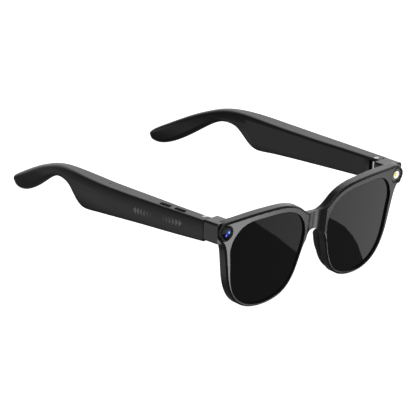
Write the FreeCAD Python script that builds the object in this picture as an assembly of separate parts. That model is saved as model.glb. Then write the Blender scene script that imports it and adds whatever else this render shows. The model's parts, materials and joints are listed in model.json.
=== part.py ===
import FreeCAD, Part

import math
import os

from FreeCAD import Vector

# Smart glasses: a square full-rim front with a camera on the wearer's right and a light on the
# wearer's left, thick temples that hold the electronics and fold on barrel hinges, two buttons
# on the right temple and a magnetic charging pad inside it.
#
# Millimetres. Everything is drawn "as worn": X towards the wearer's left, Y back along the
# temples, Z up and square to the temples' flat tops, with the origin between camera and light.
# The front has a plane of its own, tilted about X. At the end the whole object is turned about X
# and moved until rims and temple tips stand on Z = 0, with the origin under the box's centre.

# ---- driving dimensions -------------------------------------------------------------------------

MODULE_X = 67.0          # camera and light stand this far from the middle
MODULE_V = -0.3          # and this far up the front's own plane
FRONT_RADIUS = 490.0     # face-form curve of the front, seen from above
FRONT_DEPTH = 5.4        # rims, front to back
FRONT_TILT = 5.4         # degrees that the front leans in at the bottom
FRONT_AHEAD = 3.9        # bridge ahead of the camera
LENS_RECESS = 1.2        # front face of the rim to the lens
LENS_THICKNESS = 2.0
LENS_IN_GROOVE = 0.8     # how far the lens reaches into the rim
OPENING_ROUND = 0.45     # front edge of the lens openings
FIT_GAP = 0.1            # between glued or snapped pieces
BRIDGE_SCOOP = 2.6       # how far the bridge's front is hollowed
BRIDGE_SCOOP_HALF = 7.4  # half the width of that hollow

END_IN, END_OUT = 61.0, 72.2      # end piece, in X
END_TOP, END_BOTTOM = 5.9, -5.5
END_BACK, END_BACK_OUTER = 11.9, 12.1
END_STEP_X = 69.65       # outside this the end piece reaches END_BACK_OUTER
END_BLEND_R = 4.0        # hollow blend from the end piece's inner side to the rim
END_UNDER_R = 3.4        # and from its underside
CHAMBER_WALL = 1.3
CHAMBER_Z = (-4.3, 4.5)
CHAMBER_BACK = END_BACK - 1.2
MOUTH_START = 7.8        # the side opening of the chamber starts here

PIN_X, PIN_Y = 67.5, 15.7         # hinge axis
PIN_R, PIN_HEAD_R = 0.9, 1.35
HINGE_PLAY = 0.05
HINGE_LEAN = 1.0                  # degrees; pins lean in at the top, so a folded tip drops clear
KNUCKLE_R = 2.3
HINGE_ROUND = 3.4                 # round end of the temple about the pin
HINGE_PLATE = 1.4                 # thickness of the hinge leaves
LEAF_Z = (-4.1, 4.1)              # the front's two knuckles
MIDDLE_Z = (-1.6, 1.6)            # the temple's knuckle between them
BETWEEN = 0.1                     # play between knuckles, up and down
LEAF_SCREWS = [(23.4, -2.6), (27.6, 1.6)]      # (Y, Z)

TEMPLE_WALL = 1.3
CAVITY_START, CAVITY_END = 20.5, 108.0
CAVITY_REACH = 19                 # even stations that the cavity's form passes through
COVER_Y, COVER_Z = (22.0, 106.0), (-4.6, 4.2)
MIC_Y, MIC_HOLE = 82.0, (68.3, 0.45)           # hole: X, radius
LAMP_Y, LAMP_HOLE = 52.5, (69.2, 0.35)
BUTTONS_Y = [(27.6, 34.2), (38.0, 44.6)]
BUTTON_X = (68.8, 70.8)
BUTTON_TOP = 6.2
BUTTON_PLAY = 0.15
GRILLE_Y = [(86.5 + i * 1.9, 87.6 + i * 1.9) for i in range(5)]
GRILLE_X = (66.0, 70.2)
PAD_X = 64.05                     # face of the charging pad
PAD_Y, PAD_Z = (33.6, 49.4), (-3.9, 1.1)
CONTACTS_Y, CONTACT_Z = [37.0, 40.0, 43.0, 46.0], -1.4

# Half of the front's outline in its own plane, from the bridge's top round to its underside.
HALF_OUTLINE = [
    (0, -3.5), (5.2, -2.9), (9.0, -0.9), (13.2, 2.3), (18.5, 4.8), (25.5, 6.35), (34, 6.85),
    (44, 6.85), (54, 6.4), (62, 5.85), (67.6, 5.3), (69.9, 4.4), (71.1, 2.9), (71.9, 1.2),
    (72.1, -0.8), (71.1, -3.2), (69.1, -5.5), (67.2, -8.2), (66.0, -11.6), (65.0, -16),
    (63.8, -22), (62.2, -29), (59.2, -36.4), (53.8, -42.8), (46.5, -46.5), (38, -47.7),
    (29, -46.9), (20.5, -43.5), (14.6, -37.2), (11.4, -29.5), (9.6, -24), (7.9, -19.4),
    (5.6, -16.1), (3.1, -14.2), (0, -13.6),
]
# The left lens opening, the same plane.
LENS_OUTLINE = [
    (62.3, -14), (60.6, -4.6), (54.5, 1.2), (44, 2.9), (31.5, 2.9), (20.5, 1.4), (12.4, -3.8),
    (9.1, -11.8), (10.2, -21), (13.6, -32), (18.6, -40.2), (27.5, -44.8), (38, -46.1),
    (49, -43.8), (56.6, -37.6), (60.2, -28),
]
ARC_TOLERANCE = 0.04     # how closely tangent arcs follow those two outlines
# Temple stations: top (Y, Z), bottom (Y, Z), middle X, half thickness, corner radius.
TEMPLE_STATIONS = [
    ((12.4, 5.75), (12.4, -6.2), 68.95, 3.5, 1.0),
    ((30.0, 5.75), (30.0, -7.2), 68.95, 3.75, 1.0),
    ((55.0, 5.75), (55.0, -8.4), 68.6, 4.3, 1.0),
    ((78.0, 5.9), (78.0, -9.8), 68.4, 4.5, 1.0),
    ((90.0, 6.25), (89.5, -10.7), 68.0, 4.4, 1.0),
    ((97.0, 6.55), (96.0, -11.3), 67.6, 4.2, 1.1),
    ((101.0, 6.7), (100.4, -10.6), 67.3, 4.0, 1.2),
    ((105.0, 6.8), (104.4, -8.0), 66.95, 3.8, 1.3),
    ((109.5, 6.8), (108.4, -4.4), 66.4, 3.6, 1.5),
    ((114.5, 6.6), (113.0, -1.6), 65.75, 3.4, 1.8),
    ((120.0, 5.9), (117.8, -0.9), 64.95, 3.2, 2.1),
    ((126.5, 4.2), (122.8, -1.5), 63.8, 3.05, 2.3),
    ((133.0, 1.7), (128.1, -4.1), 62.4, 3.0, 2.4),
    ((140.0, -1.4), (133.8, -8.0), 60.8, 3.0, 2.5),
    ((147.0, -5.1), (139.7, -12.3), 58.9, 3.0, 2.5),
    ((153.5, -8.7), (146.2, -16.4), 56.9, 2.9, 2.5),
    ((159.0, -11.9), (152.6, -19.4), 55.2, 2.7, 2.3),
    ((162.6, -14.2), (158.2, -20.3), 54.0, 2.2, 1.9),
    ((164.2, -16.2), (162.0, -19.6), 53.3, 1.3, 1.1),
]

# ---- helpers ------------------------------------------------------------------------------------


def box(x, y, z):
    """A block between two places on each axis."""
    return Part.makeBox(x[1] - x[0], y[1] - y[0], z[1] - z[0], Vector(x[0], y[0], z[0]))


def spread(ends, by):
    """A pair of places moved apart by a margin at each end."""
    return (ends[0] - by, ends[1] + by)


def upright(radius, z, x=PIN_X, y=PIN_Y):
    """A vertical cylinder, on the left hinge's axis unless told otherwise."""
    return Part.makeCylinder(radius, z[1] - z[0], Vector(x, y, z[0]))


def forward(radius, y, x=MODULE_X, z=MODULE_V):
    """A cylinder that runs front to back, on the left module's axis unless told otherwise."""
    return Part.makeCylinder(radius, y[1] - y[0], Vector(x, y[0], z), Vector(0, 1, 0))


def mirrored(shape):
    return shape.mirror(Vector(0, 0, 0), Vector(1, 0, 0))


def fused(shapes):
    result = shapes[0]
    for shape in shapes[1:]:
        result = result.fuse(shape)
    return result.removeSplitter()


def rounded(shape, radius, chosen):
    """Fillets the chosen edges, or says so and leaves them sharp."""
    edges = [e for e in shape.Edges if chosen(e)]
    try:
        result = shape.makeFillet(radius, edges)
        if result.isValid() and result.Volume > 0.5 * shape.Volume:
            return result
    except Part.OCCError:
        pass
    print("fillet of", radius, "left out on", len(edges), "edges")
    return shape


# ---- the front, drawn in its own plane: X across, Y depth, Z up ----------------------------------


def loop(points, arcs_within=None):
    """A smooth closed wire through (across, up) points, as tangent arcs if a tolerance is given."""
    curve = Part.BSplineCurve()
    curve.interpolate(Points=[Vector(u, 0, v) for u, v in points], PeriodicFlag=True)
    if arcs_within is None:
        return Part.Wire([curve.toShape()])
    return Part.Wire(Part.__sortEdges__([arc.toShape() for arc in curve.toBiArcs(arcs_within)]))


def prism(wire, start=-6.0, depth=34.0):
    """A flat outline pushed back along Y."""
    wire.translate(Vector(0, start, 0))
    return Part.Face(wire).extrude(Vector(0, depth, 0))


def outline_prism():
    other_half = [(-u, v) for u, v in reversed(HALF_OUTLINE[1:-1])]
    return prism(loop(HALF_OUTLINE + other_half, ARC_TOLERANCE))


def lens_prism(grow=0.0):
    wire = loop(LENS_OUTLINE, ARC_TOLERANCE)
    if grow:
        wire = wire.makeOffset2D(grow)
    return prism(wire)


def curve_depth(u, depth=0.0):
    """Depth of the face-form curve at a place across the front."""
    return FRONT_RADIUS - math.sqrt((FRONT_RADIUS - depth) ** 2 - u * u)


def curved_slab(front, back, half=82.0, bottom=-60.0, top=20.0):
    """A sheet between two depths that follows the face-form curve."""
    def arc(depth):
        side = curve_depth(half, depth)
        return Part.Arc(Vector(-half, side, bottom), Vector(0, depth, bottom), Vector(half, side, bottom))
    near, far = arc(front), arc(back)
    left = Part.LineSegment(near.StartPoint, far.StartPoint)
    right = Part.LineSegment(near.EndPoint, far.EndPoint)
    wire = Part.Wire(Part.__sortEdges__([s.toShape() for s in (near, right, far, left)]))
    return Part.Face(wire).extrude(Vector(0, 0, top - bottom))


def as_worn(shape):
    """From the front's own plane to the worn position."""
    moved = shape.copy()
    moved.rotate(Vector(0, 0, 0), Vector(1, 0, 0), FRONT_TILT)
    moved.translate(Vector(0, -FRONT_AHEAD, 0))
    return moved


# Depths in the front's plane for the camera and light modules.
FACE_Y = curve_depth(MODULE_X)          # the front face beside the module
BEZEL_FRONT = FACE_Y - 0.4              # the bezel stands this proud
BEZEL_R, BEZEL_NECK_R = 4.5, 4.0
BEZEL_SEAT = FACE_Y + 0.8               # floor of the counterbore
BEZEL_BACK = FACE_Y + 3.4
RIM_BACK = 4.8                          # worn depth of the rim's back beside the end pieces
BROW_BAND = (1.1, 2.2)                  # cable channel below the outline's top, nearest and furthest
BROW_END, BROW_END_V = 62.6, 4.4        # where the channel's line ends
BROW_COVER_END = 55.8


def rim_body():
    """Both rims, the bridge and the lugs that carry the modules, before the end pieces."""
    body = outline_prism().common(curved_slab(0, FRONT_DEPTH))
    body = rounded(body, 1.1, lambda e: on_depth(e, 0.0))
    body = rounded(body, 0.8, lambda e: on_depth(e, FRONT_DEPTH))
    scoop_r = (BRIDGE_SCOOP_HALF ** 2 + BRIDGE_SCOOP ** 2) / (2 * BRIDGE_SCOOP)
    body = body.cut(Part.makeCylinder(scoop_r, 24, Vector(0, BRIDGE_SCOOP - scoop_r, -20)))
    body = body.cut(lens_prism()).cut(mirrored(lens_prism()))
    return rounded(body, OPENING_ROUND, lambda e: on_depth(e, 0.0) and in_lens_box(e))


def in_lens_box(edge):
    """Whether an edge lies on a lens opening, by its distance from the outline's box."""
    across = [u for u, _ in LENS_OUTLINE]
    up = [v for _, v in LENS_OUTLINE]
    ends = edge.BoundBox
    inside = min(across) - 0.5 < min(abs(ends.XMin), abs(ends.XMax)) and max(up) + 0.5 > ends.ZMax
    return inside and max(abs(ends.XMin), abs(ends.XMax)) < max(across) + 0.5 and ends.ZMin > min(up) - 0.5


def on_depth(edge, depth):
    """Whether an edge lies on the face-form curve at that depth."""
    middle = edge.valueAt((edge.FirstParameter + edge.LastParameter) / 2)
    quarter = edge.valueAt(edge.FirstParameter * 0.75 + edge.LastParameter * 0.25)
    return all(abs(p.y - curve_depth(p.x, depth)) < 0.02 for p in (middle, quarter))


def brow_line(below):
    """The brow's top edge lowered, dipping where it enters the end pieces."""
    half = [(u, v - below) for u, v in HALF_OUTLINE[:9]] + [(BROW_END, BROW_END_V - below)]
    curve = Part.BSplineCurve()
    curve.interpolate(Points=[Vector(u, 0, v) for u, v in [(-u, v) for u, v in reversed(half[1:])] + half])
    return curve.toShape()


def brow_band(nearest, furthest, front, back):
    """A strip between two lowered brow lines, from one end piece to the other."""
    upper, lower = brow_line(nearest), brow_line(furthest)
    ends = [Part.makeLine(upper.valueAt(upper.FirstParameter), lower.valueAt(lower.FirstParameter)),
            Part.makeLine(upper.valueAt(upper.LastParameter), lower.valueAt(lower.LastParameter))]
    wire = Part.Wire(Part.__sortEdges__([upper, lower] + ends))
    return prism(wire).common(curved_slab(front, back))


def module_bore():
    return fused([
        forward(BEZEL_R + FIT_GAP, (-3, BEZEL_SEAT)),
        forward(BEZEL_NECK_R + FIT_GAP, (-3, FACE_Y + 6)),
    ])


def end_block():
    """The left end piece, a hollow box behind the module, with blends into the rim."""
    block = box((END_IN, END_OUT), (2.4, END_BACK_OUTER), (END_BOTTOM, END_TOP))
    block = rounded(block, 1.4, lambda e: abs(e.tangentAt(e.FirstParameter).y) > 0.9)
    block = block.cut(box((END_IN - 1, END_STEP_X), (END_BACK, END_BACK_OUTER + 1), (-9, 9)))
    # a bevel under the inner rear corner leaves room for the other temple's folded tip
    low, rear = END_BOTTOM - 0.1, END_BACK + 0.1
    bevel = [Vector(END_IN - 1, rear - 2.3, low), Vector(END_IN - 1, rear, low),
             Vector(END_IN - 1, rear, low + 1.1)]
    block = block.cut(Part.Face(Part.makePolygon(bevel + bevel[:1])).extrude(Vector(6.5, 0, 0)))

    r, centre_y = END_BLEND_R, RIM_BACK + END_BLEND_R
    inner = box((END_IN - r, END_IN + 0.5), (3.0, centre_y), (END_BOTTOM + 1.4, END_TOP - 1.0))
    inner = inner.cut(upright(r, (-9, 9), x=END_IN - r, y=centre_y))
    r, centre_y = END_UNDER_R, RIM_BACK + 1.3 + END_UNDER_R
    under = box((END_IN + 0.8, 66.2), (4.0, centre_y), (END_BOTTOM - r, END_BOTTOM + 1.5))
    under = under.cut(across(r, centre_y, END_BOTTOM - r, (END_IN - 1, END_OUT)))
    return fused([block, inner, under])


def chamber():
    """The room inside an end piece, its side opening, and the slot for the hinge leaf."""
    wall = CHAMBER_WALL
    room = box((END_IN + wall, END_OUT - wall), (3.6, CHAMBER_BACK), CHAMBER_Z)
    mouth = box((END_IN - 0.6, END_IN + wall + 0.2), (MOUTH_START, CHAMBER_BACK), CHAMBER_Z)
    half = HINGE_PLATE / 2 + FIT_GAP
    slot = box((PIN_X - half, PIN_X + half), (8, END_BACK + 1), (LEAF_Z[0] - FIT_GAP, LEAF_Z[1] + FIT_GAP))
    return fused([room, mouth, leaned(slot)])


def front_frame():
    """Both rims, the bridge and the two hollow end pieces in one moulding."""
    block = end_block()
    body = as_worn(rim_body()).fuse(block).fuse(mirrored(block))
    groove = curved_slab(LENS_RECESS - FIT_GAP, LENS_RECESS + LENS_THICKNESS + FIT_GAP)
    groove = lens_prism(LENS_IN_GROOVE + FIT_GAP).common(groove)
    for hollow in (as_worn(lens_prism()), as_worn(groove), as_worn(module_bore()), chamber()):
        body = body.cut(hollow).cut(mirrored(hollow))
    return body.cut(as_worn(brow_band(BROW_BAND[0], BROW_BAND[1], FRONT_DEPTH - 1.6, FRONT_DEPTH + 1)))


def lens():
    body = lens_prism(LENS_IN_GROOVE).common(curved_slab(LENS_RECESS, LENS_RECESS + LENS_THICKNESS))
    return as_worn(body)


def front_flex():
    """The ribbon cable along the brow that joins camera, light and both temples."""
    return as_worn(brow_band(BROW_BAND[0] + 0.1, BROW_BAND[1] - 0.1, FRONT_DEPTH - 1.5, FRONT_DEPTH - 1.2))


def brow_cover():
    """The strip glued over the cable channel."""
    band = brow_band(BROW_BAND[0] + 0.05, BROW_BAND[1] - 0.05, FRONT_DEPTH - 0.9, FRONT_DEPTH)
    return as_worn(band.common(box((-BROW_COVER_END, BROW_COVER_END), (-9, 20), (-20, 20))))


def end_cover():
    """The plate that closes the end piece's side opening."""
    wall, gap = CHAMBER_WALL, FIT_GAP
    z = (CHAMBER_Z[0] + gap, CHAMBER_Z[1] - gap)
    return box((END_IN + 0.05, END_IN + wall), (MOUTH_START + gap, CHAMBER_BACK - gap), z)


# ---- nose pads ----------------------------------------------------------------------------------

# Left pad sections in the front's plane: depth, then points round a closed outline.
PAD_SECTIONS = [
    (FRONT_DEPTH, [(8.2, -19.0), (9.9, -24.0), (11.7, -29.6), (14.7, -36.8), (18.6, -41.2),
                   (20.2, -41.0), (17.2, -36.4), (14.0, -29.0), (11.9, -21.6), (10.0, -17.6)]),
    (FRONT_DEPTH + 2.6, [(8.3, -19.2), (9.6, -24.2), (11.6, -29.8), (14.4, -35.6), (17.0, -38.6),
                         (18.8, -38.4), (16.6, -34.4), (14.2, -28.4), (12.2, -21.6), (10.2, -17.8)]),
    (FRONT_DEPTH + 4.7, [(9.6, -21.0), (10.7, -25.0), (12.4, -29.4), (14.4, -33.0), (15.8, -34.8),
                         (16.7, -34.4), (15.6, -31.4), (14.2, -27.2), (12.7, -22.8), (11.3, -20.2)]),
]


def nose_pad():
    """Soft pad, glued to the back of the rim along the face-form curve."""
    wires = []
    for depth, points in PAD_SECTIONS:
        wire = loop(points)
        wire.translate(Vector(0, depth, 0))
        wires.append(wire)
    return as_worn(Part.makeLoft(wires, True, False).cut(curved_slab(0, FRONT_DEPTH + FIT_GAP)))


# ---- camera, on the right, and light, on the left; both drawn on the left -------------------------


def bezel(opening, seat_r, seat_depth):
    """A flanged ring pressed into the end piece, with a seat for its window."""
    flange = forward(BEZEL_R, (BEZEL_FRONT, BEZEL_SEAT - 0.05))
    flange = rounded(flange, 0.5, lambda e: e.CenterOfMass.y < BEZEL_FRONT + 0.1 and e.Length > 9)
    body = flange.fuse(forward(BEZEL_NECK_R, (BEZEL_SEAT - 0.1, BEZEL_BACK)))
    body = body.cut(forward(opening, (-9, 30)))
    body = body.cut(forward(seat_r, (-9, BEZEL_FRONT + seat_depth)))
    return as_worn(body.removeSplitter())


def camera_window():
    return as_worn(forward(3.35, (BEZEL_FRONT + 0.3, BEZEL_FRONT + 0.85)))


def camera_barrel():
    """The lens housing, dished round its lens."""
    body = forward(2.75, (BEZEL_FRONT + 1.1, FACE_Y + 4.6))
    dish = Part.makeCone(2.3, 1.5, 0.9, Vector(MODULE_X, BEZEL_FRONT + 1.1, MODULE_V), Vector(0, 1, 0))
    return as_worn(body.cut(dish).cut(forward(1.5, (0, BEZEL_FRONT + 3.4))))


def camera_lens():
    """The front glass of the camera, domed."""
    start = BEZEL_FRONT + 1.5
    ball = Part.makeSphere(2.2, Vector(MODULE_X, start + 2.2, MODULE_V))
    return as_worn(ball.common(forward(1.4, (0, start + 1.7))))


def camera_board():
    """Sensor and its small board behind the barrel."""
    sensor = box((MODULE_X - 2.6, MODULE_X + 2.6), (FACE_Y + 4.7, FACE_Y + 5.6), (-2.6, 2.6))
    board = box((MODULE_X - 3.4, MODULE_X + 3.4), (FACE_Y + 5.6, FACE_Y + 6.2), (-3.4, 3.2))
    return as_worn(fused([sensor, board]))


def light_window():
    return as_worn(forward(3.35, (BEZEL_FRONT + 0.3, BEZEL_FRONT + 0.85)))


def light_reflector():
    """White cup round the emitter."""
    body = forward(2.05, (BEZEL_FRONT + 1.0, FACE_Y + 2.2))
    cup = Part.makeCone(1.75, 1.2, 0.8, Vector(MODULE_X, BEZEL_FRONT + 1.0, MODULE_V), Vector(0, 1, 0))
    return as_worn(body.cut(cup).cut(forward(1.2, (0, BEZEL_FRONT + 2.4))))


def light_emitter():
    """Yellow phosphor chip."""
    return as_worn(forward(1.1, (BEZEL_FRONT + 1.6, BEZEL_FRONT + 2.3)))


def light_board():
    return as_worn(box((MODULE_X - 3.4, MODULE_X + 3.4), (FACE_Y + 4.2, FACE_Y + 4.8), (-3.4, 3.2)))


# ---- hinges, drawn on the left ------------------------------------------------------------------


def across(radius, y, z, x=(60.0, 76.0)):
    """A cylinder that runs left to right."""
    return Part.makeCylinder(radius, x[1] - x[0], Vector(x[0], y, z), Vector(1, 0, 0))


def leaned(shape):
    """Turns hinge geometry, drawn upright, to the lean of the left hinge axis."""
    turned = shape.copy()
    turned.rotate(Vector(PIN_X, PIN_Y, 0), Vector(0, 1, 0), -HINGE_LEAN)
    return turned


def hinge_hole(z=(-9, 9)):
    return upright(PIN_R + HINGE_PLAY, z)


def front_leaf():
    """Steel leaf held in the end piece, with the upper and lower knuckles."""
    half = HINGE_PLATE / 2
    leaf = box((PIN_X - half, PIN_X + half), (7.6, PIN_Y), LEAF_Z)
    knuckles = [upright(KNUCKLE_R, (MIDDLE_Z[1] + BETWEEN, LEAF_Z[1])),
                upright(KNUCKLE_R, (LEAF_Z[0], MIDDLE_Z[0] - BETWEEN))]
    room = upright(KNUCKLE_R + 0.35, (MIDDLE_Z[0] - BETWEEN, MIDDLE_Z[1] + BETWEEN))
    return leaned(fused([leaf.cut(room)] + knuckles).cut(hinge_hole()))


def temple_leaf():
    """Steel leaf held in the temple, with the middle knuckle and a foot for two screws."""
    half = HINGE_PLATE / 2
    arm = box((PIN_X - half, PIN_X + half), (PIN_Y, 24.0), MIDDLE_Z)
    foot = box((PIN_X - half, PIN_X + half), (CAVITY_START + 0.4, 30.0), (-4.0, 3.4))
    leaf = fused([arm, foot, upright(KNUCKLE_R, MIDDLE_Z)]).cut(hinge_hole())
    for y, z in LEAF_SCREWS:
        leaf = leaf.cut(across(0.75, y, z)).cut(across(1.2, y, z, (60, PIN_X - half + 0.6)))
    return leaned(leaf)


def leaf_screws():
    """Two screws that hold the temple leaf to a boss on the outer shell."""
    x = PIN_X - HINGE_PLATE / 2
    made = []
    for y, z in LEAF_SCREWS:
        head = across(1.1, y, z, (x + 0.05, x + 0.55))
        made.append(head.fuse(across(0.7, y, z, (x + 0.5, PIN_X + 2.6))).removeSplitter())
    return leaned(Part.makeCompound(made))


def hinge_pin():
    """Shouldered screw; its bright head shows on top of the temple."""
    shaft = upright(PIN_R, (-5.3, END_TOP - 0.9))
    head = upright(PIN_HEAD_R, (END_TOP - 1.0, END_TOP - 0.1))
    slot = box((PIN_X - 0.2, PIN_X + 0.2), (PIN_Y - 2, PIN_Y + 2), (END_TOP - 0.4, END_TOP + 1))
    return leaned(shaft.fuse(head).removeSplitter().cut(slot))


# ---- temples, drawn on the left -----------------------------------------------------------------


def temple_section(station, inset=0.0):
    """A rounded rectangle across the temple at one station."""
    top, bottom, middle, half_t, radius = station
    t, b = Vector(0, *top), Vector(0, *bottom)
    up = (t - b).normalize()
    half_h = (t - b).Length / 2 - inset
    half_t = half_t - inset
    radius = max(radius - inset, 0.35)
    centre = (t + b) * 0.5 + Vector(middle, 0, 0)
    x_axis = Vector(1, 0, 0)

    def place(x, h):
        return centre + x_axis * x + up * h

    edges = []
    corners = [(1, -1, -90), (1, 1, 0), (-1, 1, 90), (-1, -1, 180)]
    ends = []
    for sx, sh, start in corners:
        cx, ch = sx * (half_t - radius), sh * (half_h - radius)
        arc = [place(cx + radius * math.cos(math.radians(a)), ch + radius * math.sin(math.radians(a)))
               for a in (start, start + 45, start + 90)]
        ends.append(arc)
    for i, arc in enumerate(ends):
        edges.append(Part.Arc(*arc).toShape())
        edges.append(Part.makeLine(arc[2], ends[(i + 1) % 4][0]))
    return Part.Wire(edges)


def eased(places, values, where):
    """A smooth curve through values at rising places that never overshoots them."""
    steps = [b - a for a, b in zip(places, places[1:])]
    rates = [(b - a) / h for a, b, h in zip(values, values[1:], steps)]
    slopes = [rates[0]]
    for before, after, h, k in zip(rates, rates[1:], steps, steps[1:]):
        same_way = before * after > 0
        slopes.append(3 * (h + k) / ((2 * k + h) / before + (k + 2 * h) / after) if same_way else 0.0)
    slopes.append(rates[-1])
    i = min(sum(1 for p in places[1:-1] if where > p), len(steps) - 1)
    h, t = steps[i], (where - places[i]) / steps[i]
    start = values[i] * (1 + 2 * t) * (1 - t) ** 2 + slopes[i] * h * t * (1 - t) ** 2
    return start + values[i + 1] * t * t * (3 - 2 * t) + slopes[i + 1] * h * t * t * (t - 1)


def even_stations(count):
    """The temple's stations, spread evenly along its length."""
    rows = [(*top, *bottom, x, half, r) for top, bottom, x, half, r in TEMPLE_STATIONS]
    places = [0.0]
    for a, b in zip(rows, rows[1:]):
        places.append(places[-1] + math.hypot(b[0] + b[2] - a[0] - a[2], b[1] + b[3] - a[1] - a[3]) / 2)
    even = []
    for k in range(count):
        where = places[-1] * k / (count - 1)
        v = [eased(places, column, where) for column in zip(*rows)]
        even.append(((v[0], v[1]), (v[2], v[3]), v[4], v[5], v[6]))
    return even


STATIONS = even_stations(26)


def temple_loft(inset=0.0, reach=len(STATIONS)):
    """The temple's outer form, or a form inside it, as far as one of its stations."""
    return Part.makeLoft([temple_section(s, inset) for s in STATIONS[:reach]], True, False)


def temple_body():
    """The whole temple as one lump, shaped round the hinge at its front end."""
    body = temple_loft()
    # the round end about the pin, with the outer wall running on to meet the end piece
    nose = box((55, 69.95), (0, PIN_Y), (-12, 12)).cut(upright(HINGE_ROUND, (-12, 12)))
    body = body.cut(leaned(nose))
    room_z = (LEAF_Z[0] - 0.2, LEAF_Z[1] + 0.2)
    room = fused([upright(KNUCKLE_R + 0.35, room_z),
                  box((55, PIN_X), (0, 19.0), room_z),
                  box((PIN_X - 0.8, 70.4), (0, PIN_Y - 0.6), room_z)])
    head_seat = upright(PIN_HEAD_R + HINGE_PLAY, (END_TOP - 1.05, 12))
    for hollow in (room, head_seat, hinge_hole((-12, 12))):
        body = body.cut(leaned(hollow))
    return body


def temple_cavity():
    inner = temple_loft(TEMPLE_WALL, CAVITY_REACH)
    room = inner.common(box((55, 80), (CAVITY_START, CAVITY_END), (-15, 15)))
    half = HINGE_PLATE / 2 + FIT_GAP
    slot = box((PIN_X - half, PIN_X + half), (PIN_Y, CAVITY_START + 1),
               (MIDDLE_Z[0] - FIT_GAP, MIDDLE_Z[1] + FIT_GAP))
    return room.fuse(leaned(slot))


def cover_window(gap=0.0):
    """The opening in the temple's inner wall that the cover fills."""
    points = [(COVER_Y[0] - gap, COVER_Z[0] - 0.6 - gap), (COVER_Y[0] - gap, COVER_Z[1] + gap),
              (COVER_Y[1] + gap, COVER_Z[1] + gap), (102.5 + gap, -4.0 - gap), (96.5, -8.2 - gap),
              (88.0, -8.0 - gap), (55.0, -6.1 - gap)]
    corners = [Vector(58, y, z) for y, z in points]
    face = Part.Face(Part.makePolygon(corners + corners[:1]))
    window = face.extrude(Vector(9.2, 0, 0))
    return rounded(window, 1.0, lambda e: abs(e.tangentAt(e.FirstParameter).x) > 0.99)


def speaker_slots():
    return [box(GRILLE_X, y, (-12, -7.2)) for y in GRILLE_Y]


def temple_shell(with_buttons):
    """Outer housing: outside, top, bottom and the whole ear hook."""
    shell = temple_body().cut(temple_cavity()).cut(cover_window(FIT_GAP))
    shell = shell.cut(upright(MIC_HOLE[1], (3, 12), x=MIC_HOLE[0], y=MIC_Y))
    for slot in speaker_slots():
        shell = shell.cut(slot)
    if with_buttons:
        shell = shell.cut(upright(LAMP_HOLE[1], (3, 12), x=LAMP_HOLE[0], y=LAMP_Y))
        for y in BUTTONS_Y:
            shell = shell.cut(box(spread(BUTTON_X, BUTTON_PLAY), spread(y, BUTTON_PLAY), (3.0, 9)))
    # a boss on the outer wall takes the hinge's screws
    boss = box((PIN_X + HINGE_PLATE / 2 + 0.12, 72.0), (21.5, 29.2), (-3.8, 3.0))
    shell = shell.fuse(boss.common(temple_loft(0.5)))
    for y, z in LEAF_SCREWS:
        shell = shell.cut(leaned(across(0.75, y, z, (PIN_X, PIN_X + 2.8))))
    return shell.removeSplitter()


def temple_cover(with_contacts):
    """Inner cover: the panel beside the head."""
    cover = temple_loft().common(cover_window()).cut(temple_loft(TEMPLE_WALL, CAVITY_REACH))
    if with_contacts:
        pad = box((PAD_X, 66.0), PAD_Y, PAD_Z)
        pad = rounded(pad, 1.2, lambda e: abs(e.tangentAt(e.FirstParameter).x) > 0.99)
        cover = cover.fuse(pad).removeSplitter()
        for y in CONTACTS_Y:
            cover = cover.cut(across(0.95, y, CONTACT_Z, (60, 68)))
    return cover


def charge_contacts():
    """Four gilt pins, flush with the charging pad."""
    return Part.makeCompound([
        across(0.85, y, CONTACT_Z, (PAD_X + 0.05, 66.8)) for y in CONTACTS_Y])


def charge_magnets():
    """Two magnets behind the pad, one at each end."""
    return Part.makeCompound([box((66.55, 67.45), y, (-3.2, 0.4)) for y in ((31.6, 35.4), (47.6, 51.4))])


def button(y):
    """A key with a foot that reaches its switch."""
    cap = box(BUTTON_X, y, (4.2, BUTTON_TOP))
    cap = rounded(cap, 0.4, lambda e: e.CenterOfMass.z > BUTTON_TOP - 0.05)
    lip = 0.35
    flange = box(spread(BUTTON_X, lip), spread(y, lip), (3.9, 4.3))
    middle = sum(y) / 2
    foot = box(spread(BUTTON_X, -0.5), (middle - 0.8, middle + 0.8), (3.5, 4.0))
    return fused([cap, flange, foot])


def switches():
    """Tactile switches on the edge of the main board, one under each key."""
    made = []
    for y in BUTTONS_Y:
        middle = sum(y) / 2
        case = box(BUTTON_X, (middle - 1.4, middle + 1.4), (1.6, 2.6))
        plunger = upright(0.55, (2.5, 3.0), x=sum(BUTTON_X) / 2, y=middle)
        made.append(case.fuse(plunger).removeSplitter())
    return Part.makeCompound(made)


def main_board():
    """The processor board, edge-on between the outer wall and the battery."""
    board = box((68.9, 69.7), (31.0, 56.0), (-5.2, 1.55))
    chips = [box((67.4, 68.9), (36.6, 43.6), (-3.9, 0.6)), box((67.6, 68.9), (45.4, 52.4), (-3.8, 0.4)),
             box((67.9, 68.9), (53.2, 55.4), (-4.2, -1.6))]
    return fused([board] + chips)


def side_board():
    """The smaller board of the left temple: charging, radio and microphone."""
    board = box((68.9, 69.7), (31.0, 50.0), (-5.0, 3.4))
    chips = [box((67.7, 68.9), (34.0, 39.0), (-2.6, 1.8)), box((67.9, 68.9), (42.0, 46.0), (-2.2, 1.4))]
    return fused([board] + chips)


def battery():
    cell = box((65.9, 70.3), (58.0, 84.6), (-6.2, 3.4))
    cell = rounded(cell, 0.7, lambda e: abs(e.tangentAt(e.FirstParameter).y) > 0.99)
    return cell


def speaker():
    """Flat driver in its sealed box above the slots."""
    case = box((65.8, 70.1), (86.0, 97.6), (-7.0, -3.6))
    cone = box((66.4, 69.6), (87.2, 96.4), (-7.5, -7.0))
    return fused([case, cone])


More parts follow.
